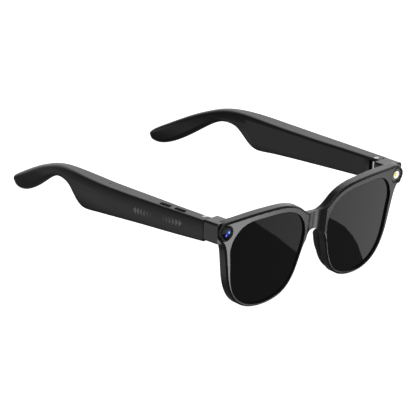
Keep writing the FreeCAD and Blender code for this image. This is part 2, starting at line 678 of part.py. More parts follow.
def speaker_mesh():
    """Woven screen inside the slots."""
    return box((GRILLE_X[0] - 0.4, GRILLE_X[1] + 0.4), (86.1, 96.0), (-8.15, -7.9))


def microphone():
    return box((67.3, 69.3), (MIC_Y - 1.5, MIC_Y + 1.5), (3.6, 4.5))


# ---- putting it together -------------------------------------------------------------------------


def all_parts():
    """Every node by name, in the worn position."""
    parts = {"front_frame": front_frame(), "front_flex_cable": front_flex(), "brow_cover": brow_cover()}
    camera = {"camera_bezel": bezel(2.85, 3.45, 0.9), "camera_window": camera_window(),
              "camera_barrel": camera_barrel(), "camera_lens": camera_lens(), "camera_board": camera_board()}
    light = {"light_bezel": bezel(2.15, 3.45, 0.9), "light_window": light_window(),
             "light_reflector": light_reflector(), "light_emitter": light_emitter(),
             "light_board": light_board()}
    parts.update({name: mirrored(shape) for name, shape in camera.items()})
    parts.update(light)
    both = {"lens": lens(), "nose_pad": nose_pad(), "end_cover": end_cover(),
            "hinge_front_leaf": front_leaf(),
            "hinge_temple_leaf": temple_leaf(), "hinge_pin": hinge_pin(), "hinge_screws": leaf_screws(),
            "battery": battery(), "speaker": speaker(), "speaker_mesh": speaker_mesh(),
            "microphone": microphone()}
    for name, shape in both.items():
        parts[name + "_left"] = shape
        parts[name + "_right"] = mirrored(shape)
    parts["temple_shell_left"] = temple_shell(False)
    parts["temple_cover_left"] = temple_cover(False)
    parts["side_board_left"] = side_board()
    right = {"temple_shell_right": temple_shell(True), "temple_cover_right": temple_cover(True),
             "main_board_right": main_board(), "charge_contacts": charge_contacts(),
             "charge_magnets": charge_magnets(), "button_front": button(BUTTONS_Y[0]),
             "button_rear": button(BUTTONS_Y[1]), "button_switches": switches()}
    parts.update({name: mirrored(shape) for name, shape in right.items()})
    return parts


def lowest(points, angle):
    """Lowest height of some points after a turn about X."""
    sine, cosine = math.sin(math.radians(angle)), math.cos(math.radians(angle))
    return min(p.y * sine + p.z * cosine for p in points)


def standing_angle(front, temple):
    """The turn about X at which rims and temple tips stand on one level."""
    front_points, temple_points = front.tessellate(0.02)[0], temple.tessellate(0.02)[0]
    low, high = -20.0, 0.0
    for _ in range(30):
        angle = (low + high) / 2
        if lowest(temple_points, angle) < lowest(front_points, angle):
            low = angle
        else:
            high = angle
    return (low + high) / 2


def main():
    parts = all_parts()
    angle = standing_angle(parts["front_frame"], parts["temple_shell_left"])
    for shape in parts.values():
        shape.rotate(Vector(0, 0, 0), Vector(1, 0, 0), angle)
    points = [p for shape in parts.values() for p in shape.tessellate(0.02)[0]]
    low = Vector(min(p.x for p in points), min(p.y for p in points), min(p.z for p in points))
    high = Vector(max(p.x for p in points), max(p.y for p in points), max(p.z for p in points))
    shift = Vector(0, -(low.y + high.y) / 2, -low.z)
    print("standing angle", round(angle, 4), "shift", round(shift.y, 4), round(shift.z, 4))
    print("size", [round(v, 2) for v in (high - low)])
    os.makedirs("parts", exist_ok=True)
    for name, shape in parts.items():
        shape.translate(shift)
        if not shape.isValid() or not shape.Solids or min(s.Volume for s in shape.Solids) <= 0:
            print("CHECK", name, shape.isValid(), len(shape.Solids))
        shape.exportStep(os.path.join("parts", name + ".step"))
        print(name, len(shape.Solids), "solid(s)", round(shape.Volume, 1), "mm3")


main()
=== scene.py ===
import json
import math

import bmesh
import bpy
from bpy.props import FloatProperty, IntProperty, PointerProperty
from mathutils import Matrix, Vector
from mathutils.bvhtree import BVHTree


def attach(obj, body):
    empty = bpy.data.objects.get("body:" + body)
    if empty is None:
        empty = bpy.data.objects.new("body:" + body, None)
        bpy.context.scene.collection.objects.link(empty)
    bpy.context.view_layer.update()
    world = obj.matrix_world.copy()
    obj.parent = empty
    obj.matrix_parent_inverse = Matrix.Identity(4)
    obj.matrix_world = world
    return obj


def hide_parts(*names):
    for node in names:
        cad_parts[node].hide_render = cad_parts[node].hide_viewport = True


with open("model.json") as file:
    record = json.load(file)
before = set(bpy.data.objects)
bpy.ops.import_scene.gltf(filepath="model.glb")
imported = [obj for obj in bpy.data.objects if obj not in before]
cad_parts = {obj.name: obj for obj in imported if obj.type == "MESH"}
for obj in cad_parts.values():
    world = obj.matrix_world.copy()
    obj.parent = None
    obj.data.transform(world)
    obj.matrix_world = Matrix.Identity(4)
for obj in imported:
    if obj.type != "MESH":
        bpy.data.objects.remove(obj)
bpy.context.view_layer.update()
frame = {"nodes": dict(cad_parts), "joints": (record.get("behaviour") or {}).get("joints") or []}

bl_info = {
    "name": "Smart Glasses",
    "version": (1, 0, 0),
    "blender": (4, 5, 0),
    "location": "View3D > Sidebar > Glasses",
    "description": "Builds the visible pieces of camera smart glasses on their packed frame",
    "category": "Add Mesh",
}

# ---- the worn position --------------------------------------------------------------------------
# Pieces are drawn as they are worn: millimetres, X to the wearer's left, Y back along the temples,
# Z square to their flat tops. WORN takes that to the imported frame, through the left hinge.

MM = 0.001
PIN = Vector((67.5, 15.7, 0.0))
HINGE = next(joint for joint in frame["joints"] if joint["name"] == "hinge_left")
PITCH = math.atan2(-HINGE["axis"][1], HINGE["axis"][2])
TURN = Matrix.Rotation(PITCH, 4, "X")
STAND = Vector(HINGE["pos_m"]) - TURN @ (PIN * MM)
WORN = Matrix.Translation(STAND) @ TURN @ Matrix.Scale(MM, 4)
SIDES = {"left": 1, "right": -1}

# The camera's own axes in the worn position, and the point it looks at along them, in millimetres.
VIEW_RIGHT = Vector((0.67301, -0.73862, 0.03871))
VIEW_UP = Vector((0.22923, 0.25805, 0.93854))
VIEW_BACK = Vector((-0.70321, -0.62278, 0.34299))
VIEW_AIM = VIEW_RIGHT * -55.24 + VIEW_UP * -1.72 + VIEW_BACK * -51.5
VIEW_DISTANCE = 5.0

# How far the table reaches each way from its middle, in metres.
TABLE_REACH = 12.0

# The low softbox: what it points at as worn, the way to it from there, and its distance and width, m.
SOFTBOX_TARGET = Vector((-40, 0, -18))
SOFTBOX_WAY = Vector((0.585, -0.67, -0.46))
SOFTBOX_DISTANCE = 0.8
SOFTBOX_WIDTH = 0.3

# The two cards share one plane as worn, and each outline runs round its card in that plane.
CARD_CENTRE = Vector((211.0, -165.1, -155.9))
CARD_ACROSS = Vector((0.6143, 0.7891, 0.0))
CARD_UP = Vector((0.3579, -0.2787, 0.8912))
NEAR_CARD = [(-119, -3), (-51, -6), (11, -13), (8, 27), (-120, 27)]
FAR_CARD = [(10, 15.5), (18, 15), (33, 14), (48, 12), (61, 8), (70, 4), (81, -4), (88, -11),
            (134, -8), (134, 60), (10, 60)]

# Each group of arrows: where its strongest and faintest tips are along the temple, and their heights.
# They are drawn clear of the right temple's outer face, then laid onto it.
ARROW_GROUPS = [(61.3, 48.4, -1.75, -1.3), (27.1, 41.0, -0.45, -1.0)]
FAINTEST_ARROW = 0.15
OUTSIDE_RIGHT = -80.0


class GlassesModules(bpy.types.PropertyGroup):
    """The camera on the wearer's right and the light on the left"""
    across: FloatProperty(name="Across", description="Module axis from the middle, mm", default=67.0)
    up: FloatProperty(name="Up", description="Module axis up the front's plane, mm", default=-0.3)
    face: FloatProperty(name="Face depth", description="Front face beside the module, mm", default=4.602)
    tilt: FloatProperty(name="Tilt", description="Lean of the front's plane", subtype="ANGLE",
                        default=math.radians(5.4))
    ahead: FloatProperty(name="Ahead", description="Front's plane ahead of the temples' zero, mm",
                         default=3.9)
    radius: FloatProperty(name="Bezel radius", description="Outer radius of both rings, mm", default=4.5)
    proud: FloatProperty(name="Bezel height", description="Ring above the front face, mm", default=0.4)
    camera_hole: FloatProperty(name="Camera opening", description="Radius, mm", default=2.85)
    light_hole: FloatProperty(name="Light opening", description="Radius, mm", default=2.15)


class GlassesMarks(bpy.types.PropertyGroup):
    """Printed arrows on the outside of the right temple"""
    count: IntProperty(name="Count", description="Arrows in each group", default=7)
    height: FloatProperty(name="Height", description="Arrow height, mm", default=3.3)
    stroke: FloatProperty(name="Stroke", description="Width of the stroke along the temple, mm",
                          default=0.45)
    reach: FloatProperty(name="Reach", description="How far each arrow's point leads, mm", default=1.6)
    ink: FloatProperty(name="Ink", description="Thickness of the print, mm", default=0.02)


class GlassesStudio(bpy.types.PropertyGroup):
    """Light from around the glasses"""
    fill: FloatProperty(name="Fill", description="Wide lights ahead, behind and on the left",
                        default=0.8)
    base: FloatProperty(name="Base", description="Light from every side", default=0.12)
    rear: FloatProperty(name="Rear", description="Wide lights behind on the left and overhead",
                        default=1.15)
    front: FloatProperty(name="Front", description="Low softbox ahead, for the moulding alone",
                         unit="POWER", default=1.3)
    near_card: FloatProperty(name="Near card", description="Card that shows in the right lens",
                             default=0.62)
    far_card: FloatProperty(name="Far card", description="Card that shows in the left lens",
                            default=1.1)
    side: FloatProperty(name="Side", description="Low light beyond the right temple", default=0.7)
    frame_width: FloatProperty(name="Frame width", description="Width that the camera sees, mm",
                               default=219.9)


# ---- meshes -------------------------------------------------------------------------------------

# Points nearer than these are one: metres in a CAD mesh, millimetres in a turned profile.
JOIN_CAD = 2e-6
JOIN_TURNED = 1e-4


def piece(bm, name, body, material, replaced=(), sharp=32.0, even=True):
    """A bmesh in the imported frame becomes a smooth-shaded piece that rides on a body.

    A copy of a CAD mesh brings its own normals. Any other piece has its edges over `sharp` degrees kept
    crisp, and its normals weighted by face area where `even` is set.
    """
    mesh = bpy.data.meshes.new(name)
    bm.to_mesh(mesh)
    bm.free()
    for polygon in mesh.polygons:
        polygon.use_smooth = True
    mesh.materials.append(material)
    obj = bpy.data.objects.new(name, mesh)
    bpy.context.scene.collection.objects.link(obj)
    kept = mesh.attributes.get("kept_normal")
    if kept:
        mesh.normals_split_custom_set([item.vector[:] for item in kept.data])
        mesh.attributes.remove(mesh.attributes["kept_normal"])
    else:
        mesh.set_sharp_from_angle(angle=math.radians(sharp))
        if even:
            shading = obj.modifiers.new("even_shading", "WEIGHTED_NORMAL")
            shading.keep_sharp = True
    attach(obj, body)
    if replaced:
        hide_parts(*replaced)
    return obj


def cad_copy(node):
    """A CAD node's mesh as one joined surface that keeps the exact normals of its faces."""
    source = frame["nodes"][node].data
    bm = bmesh.new()
    bm.from_mesh(source)
    kept = bm.loops.layers.float_vector.new("kept_normal")
    for face in bm.faces:
        for loop in face.loops:
            loop[kept] = source.corner_normals[loop.index].vector
    bmesh.ops.remove_doubles(bm, verts=bm.verts, dist=JOIN_CAD)
    return bm


def joined_copy(node, name, body, material):
    """A CAD node's own shape as a piece that stands for it."""
    return piece(cad_copy(node), name, body, material, [node])


def turned(profile, place, steps=96):
    """A closed ring or disc turned about Y from (radius, depth, corner radius) points."""
    bm = bmesh.new()
    corners = [(bm.verts.new((r, y, 0)), round_by) for r, y, round_by in profile]
    verts = [vert for vert, _ in corners]
    on_axis = profile[0][0] == 0 and profile[-1][0] == 0
    for a, b in zip(verts, verts[1:] + ([] if on_axis else verts[:1])):
        bm.edges.new((a, b))
    for vert, round_by in corners:
        if round_by:
            bmesh.ops.bevel(bm, geom=[vert], offset=round_by, affect="VERTICES", segments=5, profile=0.5)
    bmesh.ops.spin(bm, geom=bm.verts[:] + bm.edges[:], cent=(0, 0, 0), axis=(0, 1, 0),
                   angle=math.tau, steps=steps, use_merge=True)
    bmesh.ops.remove_doubles(bm, verts=bm.verts, dist=JOIN_TURNED)
    bmesh.ops.recalc_face_normals(bm, faces=bm.faces)
    bmesh.ops.transform(bm, matrix=place, verts=bm.verts)
    return bm


def module_place(sizes, side):
    """From a module's own axis, with Y back from the front's face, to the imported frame."""
    lean = Matrix.Rotation(sizes.tilt, 4, "X")
    seat = Matrix.Translation((side * sizes.across, sizes.face, sizes.up))
    return WORN @ Matrix.Translation((0, -sizes.ahead, 0)) @ lean @ seat


def bezel_profile(sizes, hole):
    """Flanged ring with a rounded lip, a bevelled throat and a seat for its window."""
    front = -sizes.proud
    spigot, foot, flange = 4.0, 3.4, 0.75
    throat, window, seat = 3.7, 3.45, front + 0.9
    return [
        (spigot, foot, 0.1), (spigot, flange, 0.0), (sizes.radius, flange, 0.08),
        (sizes.radius, front, 0.35), (throat, front, 0.2), (window, front + 0.3, 0.0),
        (window, seat, 0.0), (hole, seat, 0.05), (hole, foot, 0.0),
    ]


# ---- materials ----------------------------------------------------------------------------------


def linear(code):
    """An sRGB hex colour as linear RGBA."""
    parts = [int(code[i:i + 2], 16) / 255 for i in (1, 3, 5)]
    return tuple(c / 12.92 if c <= 0.04045 else ((c + 0.055) / 1.055) ** 2.4 for c in parts) + (1.0,)


def add(tree, kind, settings=None, links=None):
    """Adds a node with its settings, and links other sockets into its inputs."""
    made = tree.nodes.new(kind)
    for key, value in (settings or {}).items():
        if isinstance(key, str) and hasattr(made, key):
            setattr(made, key, value)
        else:
            made.inputs[key].default_value = value
    for key, source in (links or {}).items():
        tree.links.new(source, made.inputs[key])
    return made


def finish(name, settings, grain=None, clouds=None):
    """A Principled surface with a fine bump (size mm, height mm) and clouds (size mm, hex, share)."""
    found = bpy.data.materials.get(name)
    if found:
        return found
    material = bpy.data.materials.new(name)
    material.use_nodes = True
    tree = material.node_tree
    tree.nodes.clear()
    surface = add(tree, "ShaderNodeBsdfPrincipled", settings)
    place = add(tree, "ShaderNodeTexCoord")
    if grain:
        noise = add(tree, "ShaderNodeTexNoise", {"Scale": 1000.0 / grain[0], "Detail": 2.0},
                    {"Vector": place.outputs["Object"]})
        bump = add(tree, "ShaderNodeBump", {"Distance": grain[1] / 1000.0},
                   {"Height": noise.outputs["Fac"]})
        tree.links.new(bump.outputs["Normal"], surface.inputs["Normal"])
    if clouds:
        cloud = add(tree, "ShaderNodeTexNoise", {"Scale": 1000.0 / clouds[0], "Detail": 3.0},
                    {"Vector": place.outputs["Object"]})
        share = add(tree, "ShaderNodeMath", {"operation": "MULTIPLY", 1: clouds[2]},
                    {0: cloud.outputs["Fac"]})
        blend = add(tree, "ShaderNodeMix", {"data_type": "RGBA"}, {"Factor": share.outputs[0]})
        blend.inputs[6].default_value = settings["Base Color"]
        blend.inputs[7].default_value = linear(clouds[1])
        tree.links.new(blend.outputs[2], surface.inputs["Base Color"])
    add(tree, "ShaderNodeOutputMaterial", None, {"Surface": surface.outputs["BSDF"]})
    return material


# Satin lacquer over moulded nylon: grey sheen on flat faces, black on turned edges.
def frame_nylon():
    return finish("nylon_satin_lacquer", {
        "Base Color": linear("#151516"), "Roughness": 0.24, "IOR": 1.55}, grain=(0.5, 0.0004))


# Fine soft-touch moulding: an even dark grey with a wide dull sheen.
def temple_nylon():
    return finish("nylon_soft_touch", {"Base Color": linear("#101011"), "Roughness": 0.38, "IOR": 1.45},
                  grain=(0.3, 0.0006), clouds=(6.0, "#161617", 0.6))


def crown_and_crease(material):
    """Shades a temple's outer face as slightly crowned, with a shallow crease up to its hook."""
    tree = material.node_tree
    surface = next(node for node in tree.nodes if node.type == "BSDF_PRINCIPLED")
    place = next(node for node in tree.nodes if node.type == "TEX_COORD")
    worn = add(tree, "ShaderNodeMapping", {
        "vector_type": "TEXTURE", "Location": WORN.to_translation(), "Rotation": (PITCH, 0, 0),
        "Scale": (MM, MM, MM)}, {"Vector": place.outputs["Object"]})
    split = add(tree, "ShaderNodeSeparateXYZ", None, {0: worn.outputs[0]})
    along, up = split.outputs["Y"], split.outputs["Z"]
    # the crown: height falls with the square of the distance from the face's middle line
    middle = add(tree, "ShaderNodeMath", {"operation": "MULTIPLY_ADD", 1: 0.015, 2: 1.2},
                 {0: along}).outputs[0]
    off = add(tree, "ShaderNodeMath", {"operation": "ADD"}, {0: up, 1: middle}).outputs[0]
    square = add(tree, "ShaderNodeMath", {"operation": "MULTIPLY"}, {0: off, 1: off}).outputs[0]
    crown = add(tree, "ShaderNodeMath", {"operation": "MULTIPLY", 1: -0.022}, {0: square}).outputs[0]
    # the crease: a step of 0.1 mm along a line that climbs to the hook and runs level there
    climb = add(tree, "ShaderNodeMath", {"operation": "MULTIPLY_ADD", 1: 0.354, 2: -30.7},
                {0: along}).outputs[0]
    line = add(tree, "ShaderNodeMath", {"operation": "SMOOTH_MIN", 1: 1.1, 2: 3.0}, {0: climb}).outputs[0]
    above = add(tree, "ShaderNodeMath", {"operation": "SUBTRACT"}, {0: up, 1: line}).outputs[0]
    step = add(tree, "ShaderNodeMapRange", {
        "interpolation_type": "SMOOTHSTEP", "From Min": -0.5, "From Max": 0.5, "To Max": 0.10},
        {"Value": above}).outputs[0]
    fade = add(tree, "ShaderNodeMapRange", {
        "interpolation_type": "SMOOTHSTEP", "From Min": 66.0, "From Max": 76.0},
        {"Value": along}).outputs[0]
    crease = add(tree, "ShaderNodeMath", {"operation": "MULTIPLY"}, {0: step, 1: fade}).outputs[0]
    height = add(tree, "ShaderNodeMath", {"operation": "ADD"}, {0: crown, 1: crease}).outputs[0]
    bump = add(tree, "ShaderNodeBump", {"Distance": MM}, {"Height": height})
    tree.links.new(bump.outputs["Normal"], surface.inputs["Normal"])
    return material


# The same moulding on the outer shells: slightly glossier, so crown and crease catch the light.
def temple_moulding():
    name = "nylon_soft_touch_crowned"
    found = bpy.data.materials.get(name)
    return found or crown_and_crease(finish(name, {
        "Base Color": linear("#101011"), "Roughness": 0.36, "IOR": 1.5}))


# Dark polarised sheet with an anti-glare coat: near black, only strong light shows in it.
def lens_sheet():
    return finish("polycarbonate_polarised", {
        "Base Color": linear("#1e1e1f"), "Roughness": 0.02, "IOR": 1.3})


# Polished moulding: black with crisp thin highlights.
def gloss_abs():
    return finish("abs_piano_black", {"Base Color": linear("#070708"), "Roughness": 0.07, "IOR": 1.5})


# Clear flat glass: nearly unseen, it only lays a light film over what is behind.
def clear_glass():
    return finish("glass_clear", {"Base Color": (1, 1, 1, 1), "Roughness": 0.0, "IOR": 1.15,
                                  "Transmission Weight": 1.0})


def dark_pane_with_painted_glints(painted_glints):
    """A dark, mostly opaque pane over the camera; blue and violet glints glow on it as painted reflections,
    at (centre m, radius mm, hex).
    """
    material = finish("dark_pane_painted_glints", {
        "Base Color": linear("#050509"), "Roughness": 0.04, "IOR": 1.4, "Emission Strength": 1.0,
        "Alpha": 0.82})
    tree = material.node_tree
    surface = next(node for node in tree.nodes if node.type == "BSDF_PRINCIPLED")
    place = next(node for node in tree.nodes if node.type == "TEX_COORD")
    total = None
    for centre, radius, code in painted_glints:
        far = add(tree, "ShaderNodeVectorMath", {"operation": "DISTANCE", 1: centre},
                  {0: place.outputs["Object"]})
        near = add(tree, "ShaderNodeMapRange", {
            "interpolation_type": "SMOOTHSTEP", "From Max": radius / 1000.0, "To Min": 1.0, "To Max": 0.0},
            {"Value": far.outputs["Value"]})
        colour = add(tree, "ShaderNodeVectorMath", {"operation": "SCALE", 0: linear(code)[:3]},
                     {"Scale": near.outputs[0]}).outputs[0]
        if total is None:
            total = colour
        else:
            total = add(tree, "ShaderNodeVectorMath", {"operation": "ADD"},
                        {0: total, 1: colour}).outputs[0]
    tree.links.new(total, surface.inputs["Emission Color"])
    return material


# Blue anti-reflection coating on camera glass: strong violet and blue glints on black.
def coated_glass():
    return finish("glass_blue_coated", {
        "Base Color": linear("#2a35c8"), "Metallic": 0.85, "Roughness": 0.08}, clouds=(1.3, "#7a4be0", 0.8))


# Silicone: soft, dull black with a wide faint sheen.
def silicone():
    return finish("silicone_soft", {"Base Color": linear("#19191a"), "Roughness": 0.5, "IOR": 1.43},
                  grain=(0.4, 0.001))


# Hard rubber keys: dead black beside the sheen of the temple's top.
def key_rubber():
    return finish("rubber_key", {"Base Color": linear("#0c0c0d"), "Roughness": 0.6, "IOR": 1.2},
                  grain=(0.3, 0.001))


# Turned and polished steel: small bright heads.
def steel():
    return finish("steel_polished", {"Base Color": linear("#cfcfd2"), "Metallic": 1.0, "Roughness": 0.2},
                  grain=(0.2, 0.0005))


# White reflector cup: bright matt white, with a painted glow from a little emission that keeps it bright.
def white_abs_with_painted_glow():
    return finish("abs_white_painted_glow", {"Base Color": linear("#f2f2ee"), "Roughness": 0.35, "IOR": 1.5,
                                "Emission Color": linear("#ffffff"), "Emission Strength": 0.45})


# Phosphor over the light's chip: matt yellow, with a painted yellow glow from a little emission that keeps
# it bright.
def phosphor_with_painted_glow():
    return finish("phosphor_silicone_painted_glow", {"Base Color": linear("#e8cf3c"), "Roughness": 0.5, "IOR": 1.43,
                                        "Emission Color": linear("#e6cc30"), "Emission Strength": 0.3})


# Glass-fibre board under solder mask: mottled dark green.
def circuit_board():
    return finish("fr4_green", {"Base Color": linear("#14502e"), "Roughness": 0.4, "IOR": 1.5},
                  clouds=(1.2, "#0b3319", 0.9))


# Polyimide film: smooth see-through amber, drawn solid, with darker drifts.
def polyimide():
    return finish("polyimide_amber", {"Base Color": linear("#a8641e"), "Roughness": 0.3, "IOR": 1.6},
                  clouds=(2.0, "#7c4410", 0.7))


# Laminated foil pouch round a cell: dull silver with soft wrinkles.
def cell_foil():
    return finish("aluminium_foil_pouch", {
        "Base Color": linear("#b9babd"), "Metallic": 1.0, "Roughness": 0.38}, grain=(1.5, 0.01))


# Fine woven polyester over the speakers: dead black, rough to the eye.
def woven_screen():
    return finish("polyester_screen", {"Base Color": linear("#121213"), "Roughness": 0.8, "IOR": 1.45},
                  grain=(0.12, 0.01))


# Gold plate on brass contacts: warm and bright.
def gilt():
    return finish("gold_plated_brass", {
        "Base Color": linear("#e0b35a"), "Metallic": 1.0, "Roughness": 0.2})


# CAD pieces that stay as they are, by the start of their names.
FITTINGS = [
    ("front_flex_cable", polyimide), ("brow_cover", frame_nylon), ("end_cover", frame_nylon),
    ("camera_window", clear_glass), ("light_window", clear_glass), ("camera_board", circuit_board),
    ("light_board", circuit_board), ("side_board", circuit_board), ("main_board", circuit_board),
    ("battery", cell_foil), ("speaker_mesh", woven_screen), ("speaker", gloss_abs),
    ("charge_contacts", gilt), ("charge_magnets", steel), ("button_switches", steel),
    ("microphone", steel), ("hinge", steel),
]


# ---- operators ----------------------------------------------------------------------------------


class GLASSES_OT_fittings(bpy.types.Operator):
    """Gives the small CAD pieces that are kept as they are their materials"""
    bl_idname = "glasses.fittings"
    bl_label = "Fittings"

    def execute(self, context):
        for name, obj in frame["nodes"].items():
            chosen = next((made for start, made in FITTINGS if name.startswith(start)), gloss_abs)
            obj.data.materials.clear()
            obj.data.materials.append(chosen())
        return {"FINISHED"}


class GLASSES_OT_front(bpy.types.Operator):
    """Builds the one-piece front with both rims and end pieces"""
    bl_idname = "glasses.front"
    bl_label = "Front"

    def execute(self, context):
        joined_copy("front_frame", "front_moulding", "front", frame_nylon())
        return {"FINISHED"}


class GLASSES_OT_lenses(bpy.types.Operator):
    """Builds both lenses and the nose pads behind them"""
    bl_idname = "glasses.lenses"
    bl_label = "Lenses and pads"

    def execute(self, context):
        for side in SIDES:
            joined_copy("lens_" + side, "sun_lens_" + side, "front", lens_sheet())
            joined_copy("nose_pad_" + side, "nose_rest_" + side, "front", silicone())
        return {"FINISHED"}


# Painted reflections on the camera's pane, as glints: millimetres across and up from its axis, radius and
# colour.
PAINTED_GLINTS = [(1.9, 0.15, 1.5, "#2f7dff"), (2.0, 0.2, 0.8, "#b8f0ff"), (0.1, -1.1, 1.3, "#4b45ff"),
          (0.1, -1.1, 0.7, "#b9b4ff"), (0.9, 0.6, 2.4, "#10134a")]


class GLASSES_OT_camera(bpy.types.Operator):
    """Builds the camera: ring, stepped barrel and coated front glass"""
    bl_idname = "glasses.camera"
    bl_label = "Camera"

    def execute(self, context):
        sizes = context.scene.glasses_modules
        place = module_place(sizes, SIDES["right"])
        front = -sizes.proud
        ring = turned(bezel_profile(sizes, sizes.camera_hole), place)
        piece(ring, "camera_ring", "front", gloss_abs(), ["camera_bezel"])
        barrel = turned([
            (2.75, front + 1.1, 0.06), (2.75, 4.6, 0.0), (1.5, 4.6, 0.0), (1.5, front + 2.0, 0.0),
            (1.8, front + 1.75, 0.04), (1.8, front + 1.5, 0.04), (2.25, front + 1.3, 0.04),
            (2.25, front + 1.1, 0.04)], place)
        piece(barrel, "camera_cone", "front", gloss_abs(), ["camera_barrel"])
        glass = turned([(0, front + 1.45, 0), (0.5, front + 1.51, 0), (0.95, front + 1.68, 0),
                        (1.25, front + 1.88, 0), (1.42, front + 2.05, 0), (1.42, front + 3.1, 0),
                        (0, front + 3.1, 0)], place)
        piece(glass, "camera_glass", "front", coated_glass(), ["camera_lens"], sharp=40.0)
        outside = front + 0.3
        pane = turned([(0, outside, 0), (3.35, outside, 0.05), (3.35, front + 0.85, 0),
                       (0, front + 0.85, 0)], place)
        # The pane's glints are painted reflections: emission from fixed points, not light from the studio.
        painted_glints = [(place @ Vector((across, outside, up)), radius, code)
                  for across, up, radius, code in PAINTED_GLINTS]
        piece(pane, "camera_pane", "front", dark_pane_with_painted_glints(painted_glints), ["camera_window"])
        return {"FINISHED"}


class GLASSES_OT_light(bpy.types.Operator):
    """Builds the light: ring, reflector cup and phosphor chip"""
    bl_idname = "glasses.light"
    bl_label = "Light"

    def execute(self, context):
        sizes = context.scene.glasses_modules
        place = module_place(sizes, SIDES["left"])
        front = -sizes.proud
        ring = turned(bezel_profile(sizes, sizes.light_hole), place)
        piece(ring, "light_ring", "front", gloss_abs(), ["light_bezel"])
        cup = turned([(2.05, front + 0.95, 0.05), (2.05, 2.2, 0.0), (1.2, 2.2, 0.0),
                      (1.2, front + 1.75, 0.05), (1.8, front + 0.95, 0.04)], place)
        piece(cup, "light_cup", "front", white_abs_with_painted_glow(), ["light_reflector"])
        chip = turned([(0, front + 1.5, 0), (0.8, front + 1.52, 0.0), (1.1, front + 1.65, 0.06),
                       (1.1, front + 2.3, 0), (0, front + 2.3, 0)], place)
        piece(chip, "light_chip", "front", phosphor_with_painted_glow(), ["light_emitter"])
        return {"FINISHED"}


class GLASSES_OT_temples(bpy.types.Operator):
    """Builds both temples with their inner covers and the two buttons"""
    bl_idname = "glasses.temples"
    bl_label = "Temples"

    def execute(self, context):
        for side in SIDES:
            body = "temple_" + side
            joined_copy("temple_shell_" + side, "temple_arm_" + side, body,
                        temple_moulding())
            joined_copy("temple_cover_" + side, "temple_panel_" + side, body,
                        temple_nylon())
        for which in ("front", "rear"):
            joined_copy("button_" + which, which + "_key", which + "_button",
                        key_rubber())
        return {"FINISHED"}


class GLASSES_OT_marks(bpy.types.Operator):
    """Prints two groups of fading arrows on the outside of the right temple"""
    bl_idname = "glasses.marks"
    bl_label = "Arrows"

    def execute(self, context):
        sizes = context.scene.glasses_marks
        bm = bmesh.new()
        fade = bm.verts.layers.float.new("fade")
        shell = cad_copy("temple_shell_right")
        surface = BVHTree.FromBMesh(shell)
        shell.free()
        for start, end, z_start, z_end in ARROW_GROUPS:
            way = 1 if start > end else -1
            for i in range(sizes.count):
                share = i / (sizes.count - 1)
                tip, z = start + (end - start) * share, z_start + (z_end - z_start) * share
                back, half = tip - way * sizes.reach, sizes.height / 2
                stroke = way * sizes.stroke
                outline = [(tip, z), (back, z + half), (back - stroke, z + half), (tip - stroke, z),
                           (back - stroke, z - half), (back, z - half)]
                arrow = [bm.verts.new(WORN @ Vector((OUTSIDE_RIGHT, y, height))) for y, height in outline]
                for vert in arrow:
                    vert[fade] = 1.0 - (1.0 - FAINTEST_ARROW) * share
                if not bmesh.ops.contextual_create(bm, geom=arrow)["faces"]:
                    raise RuntimeError("an arrow could not be filled")
        outward = Vector((-sizes.ink * MM, 0, 0))
        for vert in bm.verts:
            hit = surface.ray_cast(vert.co, Vector((1, 0, 0)))[0]
            if hit is None:
                raise RuntimeError("an arrow misses the temple")
            vert.co = hit + outward
        made = bmesh.ops.extrude_face_region(bm, geom=bm.faces[:], use_keep_orig=True)["geom"]
        inner = [item for item in made if isinstance(item, bmesh.types.BMVert)]
        bmesh.ops.translate(bm, vec=outward * -2, verts=inner)
        bmesh.ops.recalc_face_normals(bm, faces=bm.faces)
        ink = bpy.data.materials.new("ink_fading_grey")
        ink.use_nodes = True
        tree = ink.node_tree
        tree.nodes.clear()
        level = add(tree, "ShaderNodeAttribute", {"attribute_name": "fade"})
        blend = add(tree, "ShaderNodeMix", {"data_type": "RGBA"}, {"Factor": level.outputs["Fac"]})
        blend.inputs[6].default_value = linear("#101011")
        blend.inputs[7].default_value = linear("#8a8a8c")
        coat = add(tree, "ShaderNodeBsdfPrincipled", {"Roughness": 0.5, "IOR": 1.45},
                   {"Base Color": blend.outputs[2]})
        add(tree, "ShaderNodeOutputMaterial", None, {"Surface": coat.outputs["BSDF"]})
        piece(bm, "temple_arrows", "temple_right", ink, even=False)
        return {"FINISHED"}


